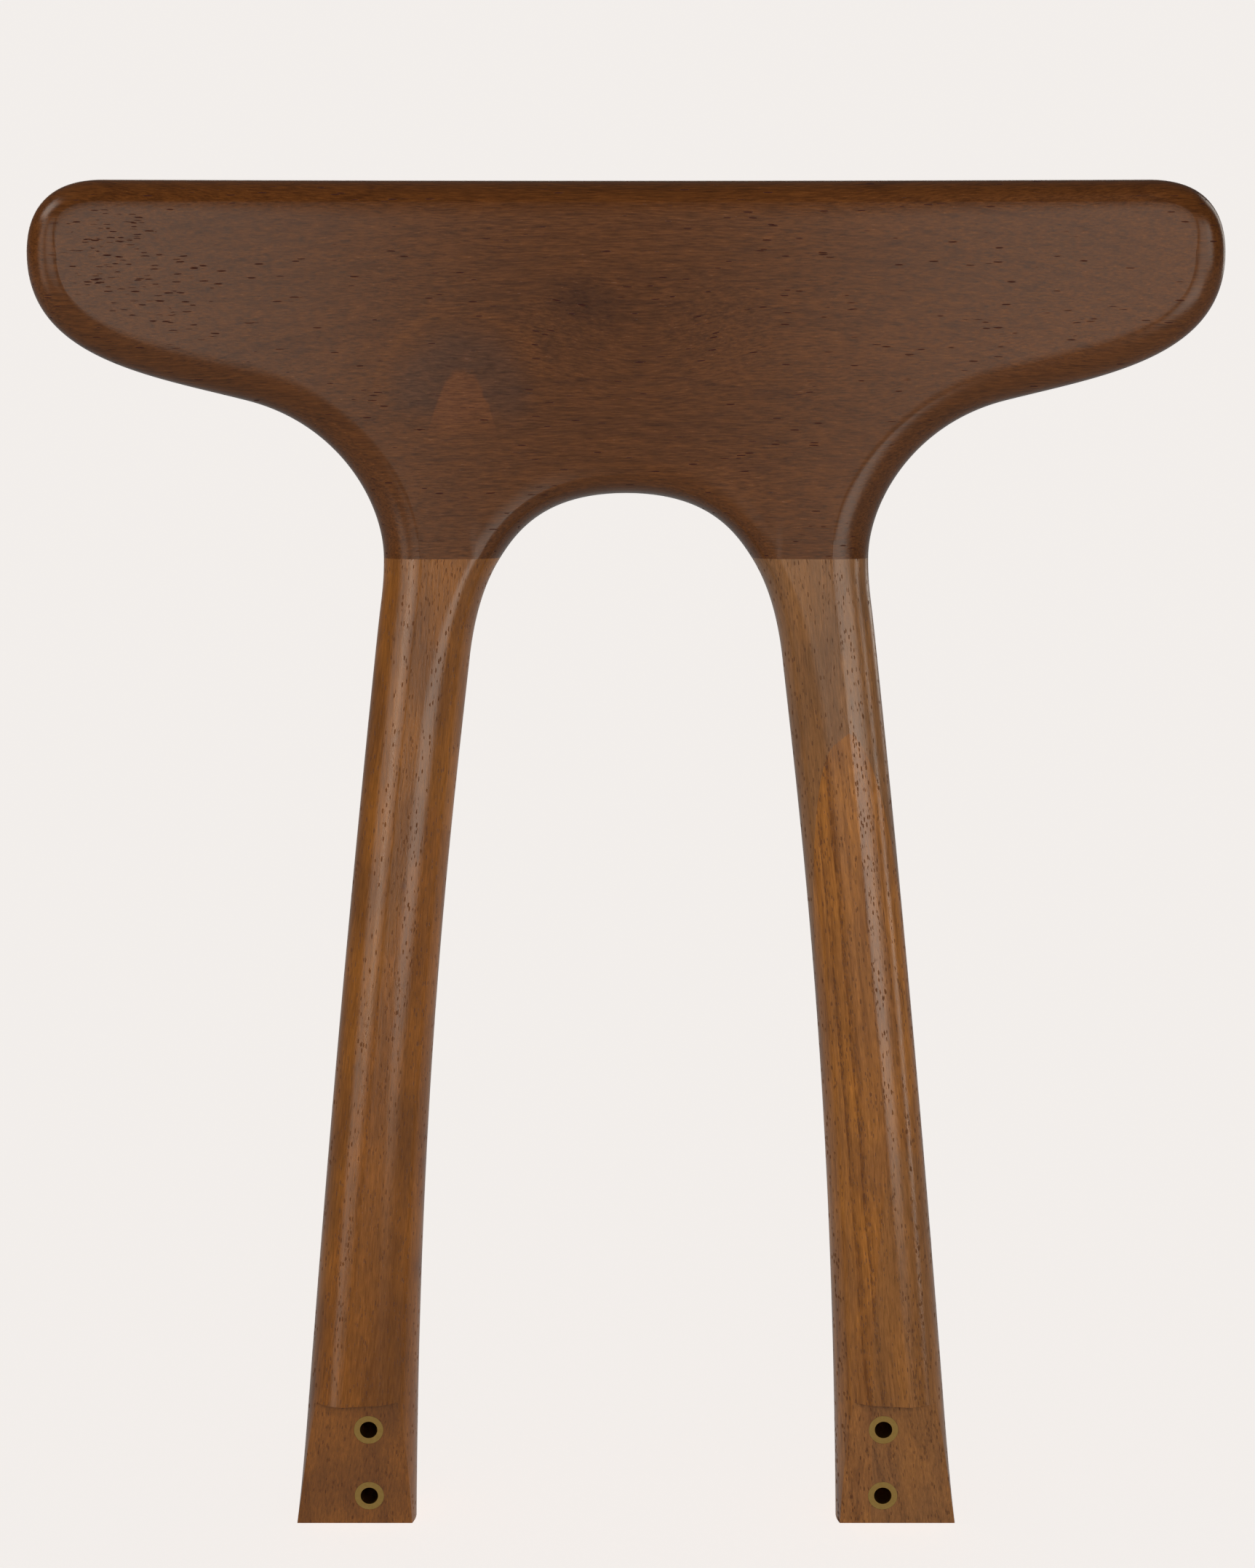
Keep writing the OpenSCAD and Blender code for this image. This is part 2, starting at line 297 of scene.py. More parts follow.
def new_object(name, data):
    """An object with this mesh, light or camera, added to the scene."""
    ob = bpy.data.objects.new(name, data)
    bpy.context.scene.collection.objects.link(ob)
    return ob


def raked():
    """Places the upright carving: leant back, with the pads' plane at the origin."""
    half_foot = (CREST_T + FOOT_GROWTH) / 2
    setback = half_foot - middle(BOLT_SPAN / 2) - PAD_H / 2 * math.tan(RAKE) - PAD_CUT
    return Matrix.Translation((0, setback * MM, 0)) @ Matrix.Rotation(-RAKE, 4, "X")


# Distances in metres below which two points become one, and a face with no width is removed
WELD, SLIVER = 1e-6, 1e-7

# An edge that turns by more than this is sharp, and a face this near to the carving, and turned
# its way by this cosine, is a carved one
FACE_ANGLE = math.radians(38)
CARVED_WITHIN = 0.02 * MM
SAME_WAY = 0.9


def loft(name, paths, side=1, flat_ends=True):
    """A mesh through the rings, raked. side -1 mirrors it, and flat_ends closes its ends."""
    paths = np.array(paths)
    count, n = paths.shape[:2]
    points = paths.reshape(-1, 2)
    front, back = wall(np.column_stack([np.abs(points[:, 0]), points[:, 1]]))
    u, w = points[:, 0] * side, points[:, 1]
    fronts = np.stack([u, front, w], 1).reshape(count, n, 3)
    backs = np.stack([u, back, w], 1).reshape(count, n, 3)
    loops = np.concatenate([fronts, backs[:, ::-1]], 1) * MM
    m = 2 * n
    faces = []
    for start in range(0, (count - 1) * m, m):
        a = start + np.arange(m)
        b = start + (np.arange(m) + 1) % m
        faces += np.stack([a, b, b + m, a + m], 1).tolist()
    if flat_ends:
        last = (count - 1) * m
        for j in range(n - 1):
            k = m - 1 - j
            faces.append([j, k, k - 1, j + 1])
            faces.append([last + j, last + j + 1, last + k - 1, last + k])
    bm = bmesh.new()
    corners = [bm.verts.new(p) for p in loops.reshape(-1, 3).tolist()]
    for face in faces:
        bm.faces.new([corners[i] for i in face])
    bmesh.ops.remove_doubles(bm, verts=bm.verts, dist=WELD)
    bmesh.ops.dissolve_degenerate(bm, edges=bm.edges, dist=SLIVER)
    bmesh.ops.recalc_face_normals(bm, faces=bm.faces)
    mesh = bpy.data.meshes.new(name)
    bm.to_mesh(mesh)
    bm.free()
    mesh.transform(raked())
    return new_object(name, mesh)


# --- Cutting ---

# A distance past every side of the posts, and how far the block that cuts out a front board
# reaches above the board's tip and below it
PAST, ABOVE_TIP, BELOW_TIP = 200, 40, 400


def new_cutter(bm):
    """The object of a bmesh, which is then freed."""
    mesh = bpy.data.meshes.new("cutter")
    bm.to_mesh(mesh)
    bm.free()
    return new_object("cutter", mesh)


def block(low, high):
    """A box between two corners, in millimetres."""
    bm = bmesh.new()
    low, high = Vector(low) * MM, Vector(high) * MM
    size = high - low
    place = Matrix.Translation((low + high) / 2) @ Matrix.Diagonal((*size, 1))
    bmesh.ops.create_cube(bm, size=1, matrix=place)
    return new_cutter(bm)


def drill(radius, length, place):
    """A cylinder centred on place's origin, along its Z, in millimetres."""
    bm = bmesh.new()
    bmesh.ops.create_cone(bm, cap_ends=True, segments=BORE_SIDES, radius1=radius * MM,
                          radius2=radius * MM, depth=length * MM, matrix=place)
    return new_cutter(bm)


def cut(ob, cutter, operation="DIFFERENCE"):
    """Applies a boolean of ob with the cutter, which is then removed."""
    boolean = ob.modifiers.new("cut", "BOOLEAN")
    boolean.operation = operation
    boolean.solver = "EXACT"
    boolean.object = cutter
    depsgraph = bpy.context.evaluated_depsgraph_get()
    mesh = bpy.data.meshes.new_from_object(ob.evaluated_get(depsgraph))
    ob.modifiers.clear()
    ob.data = mesh
    bpy.data.objects.remove(cutter)


def joint_axis(side, offset):
    """The place of a dowel: its middle on the joint, leaning with the post."""
    u = (OUTER_CORNER[0] + INNER_CORNER[0]) / 2
    place = Matrix.Translation((u * MM, middle(u) * MM, SEAM_H * MM))
    across_joint = Matrix.Translation((offset * DOWEL_PITCH / 2 * MM, 0, 0))
    right = raked() @ across_joint @ place @ Matrix.Rotation(-DOWEL_LEAN, 4, "Y")
    flip = Matrix.Diagonal((side, 1, 1, 1))
    return flip @ right @ flip


def drill_joints(ob, sides):
    """Cuts the bores of both dowels in the joint on each side."""
    for side in sides:
        for offset in (-1, 1):
            cut(ob, drill(DOWEL_D / 2 + GLUE_GAP, DOWEL_BORE_L, joint_axis(side, offset)))


def smooth(ob):
    """Smooth shading, but for the edges that turn by more than FACE_ANGLE."""
    ob.data.shade_smooth()
    ob.data.set_sharp_from_angle(angle=FACE_ANGLE)


def carry_normals(ob, source):
    """Gives the carved faces of a cut board the smooth normals of the uncut carving."""
    corners = [v.co for v in source.vertices]
    faces = [list(f.vertices) for f in source.polygons]
    tree = BVHTree.FromPolygons(corners, faces)

    def smooth_normal(point):
        place, _, face, _ = tree.find_nearest(point)
        weights = poly_3d_calc([corners[i] for i in faces[face]], place)
        total = Vector()
        for weight, i in zip(weights, faces[face]):
            total += weight * source.vertices[i].normal
        return total.normalized()

    mesh = ob.data
    mesh.shade_smooth()
    carved = [smooth_normal(v.co) for v in mesh.vertices]
    normals = [None] * len(mesh.loops)
    for face in mesh.polygons:
        _, flat, _, away = tree.find_nearest(face.center)
        on_surface = away < CARVED_WITHIN and flat.dot(face.normal) > SAME_WAY
        for loop in face.loop_indices:
            normals[loop] = carved[mesh.loops[loop].vertex_index] if on_surface else face.normal
    mesh.normals_split_custom_set(normals)


def glue_block(side, point, lean, turn):
    """Everything in front of a glue plane, up to just above the tip of the front board."""
    front, _ = wall(np.array([point], float))
    ob = block((-PAST, -PAST, -BELOW_TIP), (PAST, 0, ABOVE_TIP))
    place = (Matrix.Translation(Vector((point[0], front[0], point[1])) * MM)
             @ Matrix.Rotation(math.radians(turn), 4, "Z")
             @ Matrix.Rotation(math.radians(lean), 4, "X"))
    ob.data.transform(Matrix.Diagonal((side, 1, 1, 1)) @ raked() @ place)
    if side < 0:
        ob.data.flip_normals()
    return ob


def make_post(name, side):
    """A post before it is split: carved, with its dowels' bores, pad, foot and inserts' bores."""
    post = loft(name, post_rings(), side)
    drill_joints(post, [side])
    cut(post, block((-PAST, -PAST, -PAST), (PAST, 0, PAD_H / 2)))
    cut(post, block((-PAST, -PAST, -PAST), (PAST, PAST, -PAD_H / 2)))
    for z in (-BOLT_PITCH / 2, BOLT_PITCH / 2):
        place = Matrix.Translation(Vector((side * BOLT_SPAN / 2, INSERT_BORE_Y, z)) * MM)
        lying = place @ Matrix.Rotation(math.pi / 2, 4, "X")
        cut(post, drill(INSERT_D / 2 + GLUE_GAP, INSERT_BORE_L, lying))
    return post


def split_post(side, glue, front_name, back_name):
    """The two boards of a post: what is in front of its glue plane, and the rest."""
    front = make_post(front_name, side)
    back = new_object(back_name, front.data.copy())
    cut(front, glue_block(side, *glue), "INTERSECT")
    cut(back, glue_block(side, *glue), "DIFFERENCE")
    uncut = loft("uncut", post_rings(), side, flat_ends=False)
    carry_normals(front, uncut.data)
    carry_normals(back, uncut.data)
    bpy.data.objects.remove(uncut)
    return front, back


# ---------------------------------------------------------------------------------------------
# Materials
# ---------------------------------------------------------------------------------------------

def srgb(r, g, b):
    """A linear colour from 0-255 display values."""
    return tuple(((c / 255 + 0.055) / 1.055) ** 2.4 if c > 10 else c / 255 / 12.92
                 for c in (r, g, b)) + (1,)


# How fine the woods' marks are, in marks per metre: along the grain, and twice across it
WANDER, CURL = (6.0, 25.0, 25.0), (40.0, 120.0, 120.0)
STREAKS, FLECKS, FIBRES = (30.0, 600.0, 600.0), (260.0, 900.0, 900.0), (160.0, 2000.0, 2000.0)

# The pores' pattern, in its own cells: how many cells a pore's length and thickness make, how
# many its thickness makes into the board, how far a row may slip, and a pore's soft edge
PORE_CELL = (0.7, 0.2)
PORE_SLIP = 10.0
PORE_EDGE = (0.42, 0.34)

# How much fibres and pits add to the finish's roughness, a pit's height beside a fibre's, and
# the strength of the relief and its height in metres
FIBRE_ROUGH, PIT_ROUGH, PIT_HEIGHT = 0.12, 0.7, -0.8
RELIEF, RELIEF_HEIGHT = 0.4, 0.00008

# How far the fibres wander in metres, and the share of that in the finer curl
SWAY, CURL_SHARE = 0.006, 0.15

# The distance in metres between growth rings in the crest rail and in the posts
CREST_YEAR, POST_YEAR = 0.0026, 0.0046

# The height in metres, along the rake, that the crest rail's wood is drawn from
FACE_MIDDLE = 0.37


class Nodes:
    """A material's node tree, with short calls for the nodes that the woods use."""

    def __init__(self, name):
        self.material = bpy.data.materials.new(name)
        self.material.use_nodes = True
        self.tree = self.material.node_tree
        self.shader = self.tree.nodes["Principled BSDF"]

    def node(self, kind, inputs=(), **settings):
        """A node of this kind, with its sockets and its settings filled in."""
        made = self.tree.nodes.new(kind)
        for key, value in settings.items():
            setattr(made, key, value)
        for key, value in dict(inputs).items():
            self.put(made.inputs[key], value)
        return made

    def put(self, socket, value):
        """Links another node's output to a socket, or sets the socket's own value."""
        if isinstance(value, bpy.types.NodeSocket):
            self.tree.links.new(value, socket)
        else:
            socket.default_value = value

    def math(self, operation, a, b=0.0, c=0.0):
        """The result of an operation on up to three numbers, by Blender's name for it."""
        made = self.node("ShaderNodeMath", operation=operation)
        for socket, value in zip(made.inputs, (a, b, c)):
            self.put(socket, value)
        return made.outputs[0]

    def board(self, place):
        """Coordinates in metres in the board's own frame: X along the grain."""
        coords = self.node("ShaderNodeTexCoord").outputs["Object"]
        location, rotation, _ = place.inverted().decompose()
        made = self.node("ShaderNodeMapping", {"Vector": coords, "Location": location,
                                               "Rotation": rotation.to_euler()})
        return made.outputs[0]

    def stretch(self, vector, scale):
        """The vector times a scale for each axis."""
        return self.node("ShaderNodeVectorMath", {0: vector, 1: scale},
                         operation="MULTIPLY").outputs[0]

    def noise(self, vector, scale, detail=2.0, roughness=0.5):
        """Noise from 0 to 1, with scale periods in a metre along each axis."""
        made = self.node("ShaderNodeTexNoise", {"Vector": self.stretch(vector, scale), "Scale": 1.0,
                                                "Detail": detail, "Roughness": roughness})
        return made.outputs["Fac"]

    def remap(self, value, low, high, to_low=0.0, to_high=1.0):
        """From to_low where value is low to to_high where it is high, flat beyond both."""
        made = self.node("ShaderNodeMapRange", {"Value": value, "From Min": low, "From Max": high,
                                                "To Min": to_low, "To Max": to_high},
                         interpolation_type="SMOOTHSTEP")
        return made.outputs[0]

    def blend(self, factor, a, b):
        """From colour a, where factor is 0, to colour b, where it is 1."""
        made = self.node("ShaderNodeMix", data_type="RGBA")
        for index, value in {0: factor, 6: a, 7: b}.items():
            self.put(made.inputs[index], value)
        return made.outputs[2]

    def spot(self, vector, centre, size):
        """1 at centre, falling smoothly to 0 at the edge of an ellipsoid of that size."""
        scaled = self.stretch(self.subtract(vector, centre), [1 / s for s in size])
        away = self.node("ShaderNodeVectorMath", {0: scaled}, operation="LENGTH").outputs["Value"]
        return self.remap(away, 1.0, 0.0)

    def spots(self, vector, places):
        """The sum of several spots, each given as its centre, size and strength."""
        total = 0.0
        for centre, size, strength in places:
            total = self.math("MULTIPLY_ADD", self.spot(vector, centre, size), strength, total)
        return total

    def bright(self, colour, factor):
        """The colour times a factor."""
        return self.node("ShaderNodeVectorMath", {0: colour, "Scale": factor},
                         operation="SCALE").outputs[0]

    def random(self, number):
        """From 0 to 1, another value for each number."""
        return self.node("ShaderNodeTexWhiteNoise", {"W": number},
                         noise_dimensions="1D").outputs["Value"]

    def add(self, a, b):
        """The sum of two vectors."""
        return self.node("ShaderNodeVectorMath", {0: a, 1: b}, operation="ADD").outputs[0]

    def subtract(self, a, b):
        """The vector from b to a."""
        return self.node("ShaderNodeVectorMath", {0: a, 1: b}, operation="SUBTRACT").outputs[0]

    def split(self, vector):
        """The X, Y and Z of a vector."""
        return self.node("ShaderNodeSeparateXYZ", {0: vector}).outputs

    def pores(self, vector, length, thickness, density):
        """Short dashes along the grain, in rows that each slip by a length of their own, and
        drawn out into the board so that most are cut along their whole length. density, from
        0 to 1, may vary over the wood."""
        cell, cell_depth = PORE_CELL
        scaled = self.stretch(vector, (cell / length, cell_depth / thickness, cell / thickness))
        row = self.math("FLOOR", self.split(scaled)[2])
        slip = self.math("MULTIPLY", self.random(row), PORE_SLIP)
        slipped = self.add(scaled, self.node("ShaderNodeCombineXYZ", {"X": slip}).outputs[0])
        cells = self.node("ShaderNodeTexVoronoi", {"Vector": slipped, "Scale": 1.0,
                                                   "Randomness": 1.0})
        chance = self.node("ShaderNodeSeparateColor", {0: cells.outputs["Color"]}).outputs[0]
        picked = self.math("LESS_THAN", chance, density)
        return self.math("MULTIPLY", picked, self.remap(cells.outputs["Distance"], *PORE_EDGE))


def rings(n, p, pith, spacing):
    """Growth rings round the tree's pith, which lies at pith in the board's Y and Z: from 0 in
    the pale early wood to about 1 in the dark late wood of a strong year."""
    split = n.split(p)
    y = n.math("SUBTRACT", split[1], pith[0])
    z = n.math("SUBTRACT", split[2], pith[1])
    radius = n.math("SQRT", n.math("ADD", n.math("MULTIPLY", y, y), n.math("MULTIPLY", z, z)))
    year = n.math("DIVIDE", radius, spacing)
    phase = n.math("FRACT", year)

    # Late wood darkens slowly and ends at once
    late = n.math("MULTIPLY", n.math("POWER", phase, 2.0), n.remap(phase, 1.0, 0.9))
    return n.math("MULTIPLY", late, n.random(n.math("FLOOR", year)))


def bent(n, p, bulges=()):
    """The board's coordinates with its fibres wandering, and bulging round each knot."""
    drift = n.math("SUBTRACT", n.noise(p, WANDER), 0.5)
    curl = n.math("SUBTRACT", n.noise(p, CURL), 0.5)
    shift = n.math("MULTIPLY_ADD", curl, CURL_SHARE * SWAY, n.math("MULTIPLY", drift, SWAY))
    if bulges:
        shift = n.math("ADD", shift, n.spots(p, bulges))
    return n.add(p, n.node("ShaderNodeCombineXYZ", {"Y": shift, "Z": shift}).outputs[0])


def figured(n, p, years, dark, mid, warm, ring_depth, streak_depth, mottling):
    """The colour of the wood: warm mottles in the mid colour, with short dark streaks, and
    growth rings as broken dark lines. mottling is how fine the mottles are, like STREAKS."""
    mottle = n.remap(n.noise(p, mottling, 3.0), 0.34, 0.68)
    colour = n.blend(mottle, mid, warm)
    streak = n.remap(n.noise(p, STREAKS, 3.0), 0.42, 0.74)
    colour = n.blend(n.math("MULTIPLY", streak, streak_depth), colour, dark)
    flecks = n.remap(n.noise(p, FLECKS, 2.0, 0.6), 0.4, 0.58, to_low=0.4)
    late = n.math("MULTIPLY", years, n.math("MULTIPLY", flecks, ring_depth))
    return n.blend(late, colour, dark)


def lacquer(n, p, colour, pits, pit_colour, pit_depth, fibre_depth, roughness, gloss):
    """Adds the fibres and pores, and a finish that they faintly show through."""
    fibre = n.math("SUBTRACT", n.noise(p, FIBRES, 3.0, 0.7), 0.5)
    colour = n.bright(colour, n.math("MULTIPLY_ADD", fibre, fibre_depth, 1.0))
    colour = n.blend(n.math("MULTIPLY", pits, pit_depth), colour, pit_colour)
    n.put(n.shader.inputs["Base Color"], colour)
    rough = n.math("MULTIPLY_ADD", fibre, FIBRE_ROUGH, roughness)
    n.put(n.shader.inputs["Roughness"], n.math("MULTIPLY_ADD", pits, PIT_ROUGH, rough))
    n.shader.inputs["Specular IOR Level"].default_value = gloss
    height = n.math("MULTIPLY_ADD", pits, PIT_HEIGHT, fibre)
    bump = n.node("ShaderNodeBump", {"Height": height, "Strength": RELIEF,
                                     "Distance": RELIEF_HEIGHT})
    n.put(n.shader.inputs["Normal"], bump.outputs[0])
    return n.material


def lens(n, along, aside, narrowness, edge):
    """1 inside a parabola that opens towards positive along, and 0 outside its soft edge."""
    square = n.math("MULTIPLY", aside, aside)
    return n.remap(n.math("MULTIPLY_ADD", square, -narrowness, along), 0.0, edge)


def flame(n, p, centre, height, reach):
    """How much there is of a pale flame-shaped patch, whose tip is height above the centre, of
    the greyish halo round it, and of the thin arc at reach that ends the halo. Their edges
    stray a little, and each fades out between the two heights of its foot."""
    stray_x, stray_z = 0.006, 0.012
    foot, halo_foot, arc_foot = (-0.016, -0.002), (-0.012, 0.0), (-0.005, 0.02)
    halo_edge, arc_width = (reach * 0.95, reach * 0.6), 0.003
    wobble = n.math("SUBTRACT", n.noise(p, (60.0, 60.0, 60.0), 3.0), 0.5)
    split = n.split(n.subtract(p, centre))
    x = n.math("MULTIPLY_ADD", wobble, stray_x, split[0])
    z = n.math("MULTIPLY_ADD", wobble, stray_z, split[2])
    away = n.math("SQRT", n.math("MULTIPLY_ADD", x, x, n.math("MULTIPLY", z, z)))
    tip = n.math("SUBTRACT", height, z)
    inside = n.math("MULTIPLY", lens(n, tip, x, narrowness=170.0, edge=0.003),
                    n.remap(z, *foot))
    halo = n.math("MULTIPLY", n.remap(away, *halo_edge), n.remap(z, *halo_foot))
    arc = n.remap(n.math("ABSOLUTE", n.math("SUBTRACT", away, reach)), arc_width, 0.0)
    return inside, halo, n.math("MULTIPLY", arc, n.remap(z, *arc_foot))


def crest_wood(name):
    """Dark stained walnut with level grain. Its board's frame is raked, with X sideways from
    the middle and Z up from FACE_MIDDLE."""
    n = Nodes(name)
    flat = n.board(raked() @ Matrix.Translation((0, 0, FACE_MIDDLE)))
    p = bent(n, flat, [((0.005, 0, 0.012), (0.05, 0.05, 0.028), 0.006)])
    years = rings(n, p, (0.075, -0.05), CREST_YEAR)
    colour = figured(n, p, years, dark=srgb(53, 25, 7), mid=srgb(95, 55, 22),
                     warm=srgb(100, 58, 23), ring_depth=0.55, streak_depth=0.3,
                     mottling=(9.0, 45.0, 45.0))
    inside, halo, arc = flame(n, flat, (-0.0554, 0, -0.0085), height=0.0115, reach=0.029)
    colour = n.blend(n.math("MULTIPLY", halo, 0.45), colour, srgb(70, 48, 38))
    colour = n.blend(n.math("MULTIPLY", arc, 0.2), colour, srgb(128, 76, 28))
    colour = n.blend(n.math("MULTIPLY", inside, 0.5), colour, srgb(122, 70, 30))

    # A small dark knot, and a wide faint patch of painted shade that darkens the middle of the
    # face, where the face reflects less light
    knot_and_middle_shade = n.spots(p, [((-0.0134, 0, 0.025), (0.022, 0.05, 0.009), 0.6),
                        ((0.0, 0, 0.01), (0.10, 0.05, 0.05), 0.2)])
    colour = n.blend(knot_and_middle_shade, colour, srgb(57, 28, 8))

    # Pores that crowd at the left end, most of all near its top
    crowd = n.spots(flat, [((-0.172, 0, 0.047), (0.025, 0.05, 0.014), 1.0),
                           ((-0.172, 0, 0.033), (0.05, 0.05, 0.04), 0.7)])
    pits = n.pores(p, length=0.003, thickness=0.00042, density=n.math("ADD", crowd, 0.03))
    return lacquer(n, p, colour, pits, pit_colour=srgb(52, 14, 7), pit_depth=0.9,
                   fibre_depth=2.2, roughness=0.25, gloss=0.36)


def post_wood(name, side, mid, warm, pith, ring_depth, streak_depth, marks=(), patch=None):
    """Walnut with upright grain. Its board's frame is the post's: X up it, Z outwards. marks
    are dark spots, and patch is a pointed change of colour: its tip, colour and strength."""
    n = Nodes(name)
    flat = n.board(post_place(side))
    p = bent(n, flat)
    years = rings(n, p, pith, POST_YEAR)
    colour = figured(n, p, years, srgb(88, 46, 17), mid, warm, ring_depth, streak_depth,
                     mottling=(28.0, 80.0, 80.0))
    if marks:
        colour = n.blend(n.spots(flat, marks), colour, srgb(84, 42, 15))
    if patch:
        tip, tint, strength = patch
        split = n.split(n.subtract(tip, p))
        inside = lens(n, split[0], split[2], narrowness=250.0, edge=0.002)
        colour = n.blend(n.math("MULTIPLY", inside, strength), colour, tint)
    pits = n.pores(p, length=0.0016, thickness=0.00045,
                   density=n.math("MULTIPLY_ADD", years, ring_depth, 0.16))
    return lacquer(n, p, colour, pits, pit_colour=srgb(76, 38, 14), pit_depth=0.6,
                   fibre_depth=1.4, roughness=0.22, gloss=0.5)


def plain_wood(name):
    """Bare beech, with its short flecks."""
    n = Nodes(name)
    p = n.node("ShaderNodeTexCoord").outputs["Object"]
    fleck = n.remap(n.noise(p, (1600.0, 1600.0, 220.0), 1.0), 0.55, 0.7)
    tone = n.noise(p, (300.0, 300.0, 12.0), 3.0)
    colour = n.blend(tone, srgb(214, 180, 132), srgb(190, 148, 100))
    n.put(n.shader.inputs["Base Color"], n.blend(fleck, colour, srgb(150, 104, 66)))
    n.shader.inputs["Roughness"].default_value = 0.6
    return n.material


def brass(name):
    """Turned brass, with faint tool marks."""
    n = Nodes(name)
    p = n.node("ShaderNodeTexCoord").outputs["Object"]
    marks = n.noise(p, (900.0, 900.0, 900.0), 3.0)
    n.put(n.shader.inputs["Base Color"], n.blend(marks, srgb(214, 178, 106), srgb(186, 146, 78)))
    n.put(n.shader.inputs["Roughness"], n.math("MULTIPLY_ADD", marks, 0.2, 0.22))
    n.shader.inputs["Metallic"].default_value = 1.0
    return n.material


# ---------------------------------------------------------------------------------------------
# Pieces
# ---------------------------------------------------------------------------------------------

def dress(piece, node, material):
    """Puts a piece in the place of its CAD node, with its finish."""
    piece.data.materials.clear()
    piece.data.materials.append(material)
    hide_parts(node)
    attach(piece, "root")


# How far from the middle each post's blank starts, level with the bolts, and where it ends
BLANK_LOW_U, BLANK_HIGH_U, BLANK_H = 90, 63, 300


def post_place(side):
    """The frame of a post's blank: X along the post, Z sideways away from the middle."""
    low, high = Vector((side * BLANK_LOW_U, 0, 0)), Vector((side * BLANK_HIGH_U, 0, BLANK_H))
    turn = (high - low).to_track_quat("X", "Z").to_matrix().to_4x4()
    return raked() @ Matrix.Translation(low * MM) @ turn


# --- The carved pieces. Left and right are as seen from the front ---

crest = loft("carved_crest_rail", crest_rings(), flat_ends=False)
drill_joints(crest, (-1, 1))
smooth(crest)
dress(crest, "crest_rail", crest_wood("crest walnut"))

left_front, left_back = split_post(-1, LEFT_GLUE, "carved_left_front_board",
                                   "carved_left_back_board")
right_front, right_back = split_post(1, RIGHT_GLUE, "carved_right_front_board",
                                     "carved_right_back_board")

# Dark marks on the left post: a row of scallops down its inner side, and a tiny knot
SCALLOPS = [((x, 0, -0.0145), (0.008, 0.05, 0.008), 0.45) for x in (0.066, 0.09, 0.1, 0.112)]
KNOT = [((0.1965, 0, 0.003), (0.003, 0.05, 0.0015), 0.8)]
orange = post_wood("orange walnut", -1, srgb(118, 73, 32), srgb(140, 87, 35),
                   pith=(0.05, 0.03), ring_depth=0.25, streak_depth=0.15, marks=KNOT + SCALLOPS)
plain = post_wood("left walnut", -1, srgb(117, 73, 32), srgb(140, 88, 34),
                  pith=(0.05, 0.03), ring_depth=0.2, streak_depth=0.15, marks=KNOT + SCALLOPS,
                  patch=((0.2176, 0, -0.008), srgb(86, 45, 15), 0.3))
greyish = post_wood("right walnut", 1, srgb(130, 92, 60), srgb(150, 104, 62),
                    pith=(-0.06, 0.04), ring_depth=0.25, streak_depth=0.15)
striped = post_wood("striped walnut", 1, srgb(155, 102, 53), srgb(178, 116, 52),
                    pith=(0.02, 0.012), ring_depth=0.95, streak_depth=0.4,
                    patch=((0.1064, 0, 0.014), srgb(136, 94, 56), 0.45))
dress(left_front, "left_post_front_board", orange)
dress(left_back, "left_post_back_board", plain)
dress(right_front, "right_post_front_board", striped)
dress(right_back, "right_post_back_board", greyish)

# --- The dowels and inserts stay the CAD model's, with finishes of their own ---

finishes = {"dowel": plain_wood("beech"), "insert": brass("brass")}
for name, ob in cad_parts.items():
    kind = name.split("_")[-1]
    if kind in finishes:
        ob.data.materials.clear()
        ob.data.materials.append(finishes[kind])

# ---------------------------------------------------------------------------------------------
# Floor, light and camera
# ---------------------------------------------------------------------------------------------

PAPER, ROOM = srgb(243, 239, 236), srgb(255, 253, 250)
SOFT, WARM = (1.0, 0.93, 0.84), (1.0, 0.86, 0.72)
FLOOR_HALF, FLOOR_GLOW = 15.0, 0.915
LIT = Vector((0, 0.05, 0.3))
STUDIO = 1.5


def make_floor():
    """A pale floor, lit mostly from within, so that it is even and adds no light to the wood."""
    mesh = bpy.data.meshes.new("floor")
    corners = [(x * FLOOR_HALF, y * FLOOR_HALF, 0) for x, y in ((-1, -1), (1, -1), (1, 1), (-1, 1))]
    mesh.from_pydata(corners, [], [(0, 1, 2, 3)])
    ob = new_object("floor", mesh)
    ob.location.z = cad_box[0].z
    ob.visible_diffuse = False
    ob.visible_glossy = False
    n = Nodes("paper")
    n.shader.inputs["Base Color"].default_value = PAPER
    n.shader.inputs["Roughness"].default_value = 1.0
    n.shader.inputs["Specular IOR Level"].default_value = 0.0
    n.shader.inputs["Emission Color"].default_value = PAPER
    n.shader.inputs["Emission Strength"].default_value = FLOOR_GLOW
    mesh.materials.append(n.material)
    return ob


def make_world(below, above):
    """The room's own light. below and above are its strengths under and over the horizon."""
    made = bpy.data.worlds.new("studio")
    made.use_nodes = True
    tree = made.node_tree
    coords = tree.nodes.new("ShaderNodeTexCoord")
    split = tree.nodes.new("ShaderNodeSeparateXYZ")
    tree.links.new(coords.outputs["Generated"], split.inputs[0])
    strength = tree.nodes.new("ShaderNodeMapRange")
    strength.interpolation_type = "SMOOTHSTEP"
    for key, value in {"From Min": -0.3, "From Max": 0.1, "To Min": below, "To Max": above}.items():
        strength.inputs[key].default_value = value
    tree.links.new(split.outputs[2], strength.inputs["Value"])
    tree.links.new(strength.outputs[0], tree.nodes["Background"].inputs["Strength"])
    tree.nodes["Background"].inputs["Color"].default_value = ROOM
    bpy.context.scene.world = made


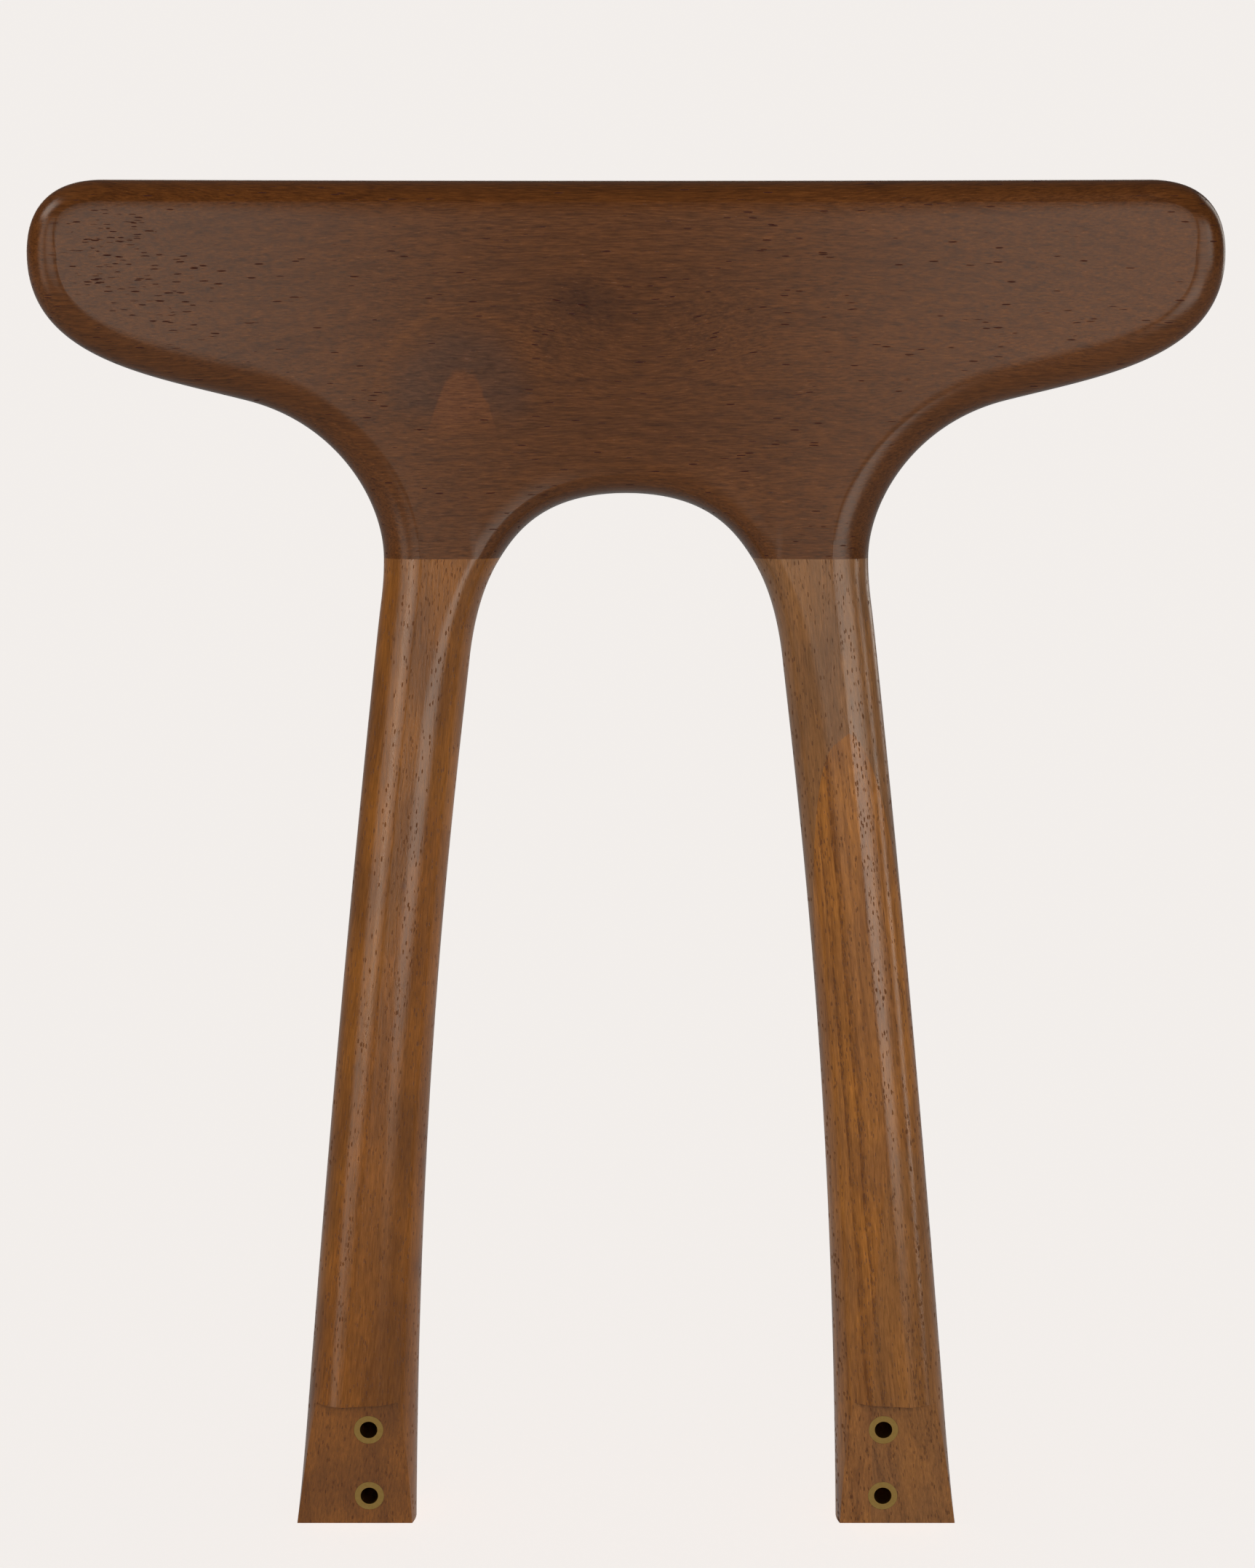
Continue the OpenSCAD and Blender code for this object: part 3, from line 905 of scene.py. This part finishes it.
def softbox(name, azimuth, distance, low, high, width, radiance, lit=None, tint=SOFT):
    """An upright rectangle of light that faces LIT. Azimuth 0 is straight in front and 90 is at
    +X, and low and high are the heights of its edges before it tilts. It reaches the pieces in
    lit, or else everything but the floor."""
    a = math.radians(azimuth)
    place = Vector((distance * math.sin(a), -distance * math.cos(a), (low + high) / 2))
    light = bpy.data.lights.new(name, "AREA")
    light.shape = "RECTANGLE"
    light.size, light.size_y = width, high - low
    light.energy = radiance * math.pi * width * (high - low)
    light.color = tint
    ob = new_object(name, light)
    ob.location = place
    ob.rotation_euler = (LIT - place).to_track_quat("-Z", "Y").to_euler()
    ob.light_linking.receiver_collection = lit or off_floor


def group(name, pieces):
    """A collection of pieces that a light can be linked to."""
    made = bpy.data.collections.new(name)
    for piece in pieces:
        made.objects.link(piece)
    return made


# Lights reach everything but the floor, or else only the pieces of a group
floor = make_floor()
off_floor = group("off_floor", [floor])
off_floor.collection_objects[0].light_linking.link_state = "EXCLUDE"
left_post = group("left_post", [left_front, left_back])
left_side = group("left_side", [crest, left_front, left_back])
right_post = group("right_post", [right_front, right_back])
make_world(below=0.35, above=0.08)

# Each light's azimuth, distance, low and high edge, width and radiance
softbox("right panel", 21, STUDIO, 0.42, 1.0, 0.68, 2.1)
softbox("left panel", -17.5, STUDIO, 0.38, 1.0, 0.57, 2.1)
softbox("right upper", 44, STUDIO, 0.42, 1.0, 0.5, 3.1)
softbox("post panel", 26, 0.67, 0.16, 0.37, 0.38, 3.0)
softbox("left fill", -46, STUDIO, 0.05, 1.2, 0.5, 1.7, left_side)
softbox("left strip", -29.5, STUDIO, 0.28, 1.0, 0.22, 5.2, left_post, WARM)
softbox("side strip", 77, STUDIO, 0.05, 0.5, 0.16, 5.5, right_post)
softbox("high left", -70, 1.2, 1.1, 2.1, 1.0, 4.5)
softbox("behind right", 118, STUDIO, 0.05, 1.2, 0.7, 6.0, left_post)
softbox("far right", 135, STUDIO, 0.05, 1.2, 0.5, 2.0)
softbox("back box", 185, 1.8, 0.0, 0.55, 1.2, 1.5)

# The camera looks at AIM from DISTANCE metres away and PITCH above level
AIM = Vector((0.0005, 0.05, 0.2272))
PITCH, DISTANCE = math.radians(14.5), 2.0
SENSOR_MM, LENS_MM = 36, 168.3
camera_data = bpy.data.cameras.new("camera")
camera_data.sensor_fit = "HORIZONTAL"
camera_data.sensor_width = SENSOR_MM
camera_data.lens = LENS_MM
camera = new_object("camera", camera_data)
camera.location = AIM + DISTANCE * Vector((0, -math.cos(PITCH), math.sin(PITCH)))
camera.rotation_euler = (math.pi / 2 - PITCH, 0, 0)
bpy.context.scene.camera = camera
bpy.context.scene.view_settings.view_transform = "Standard"
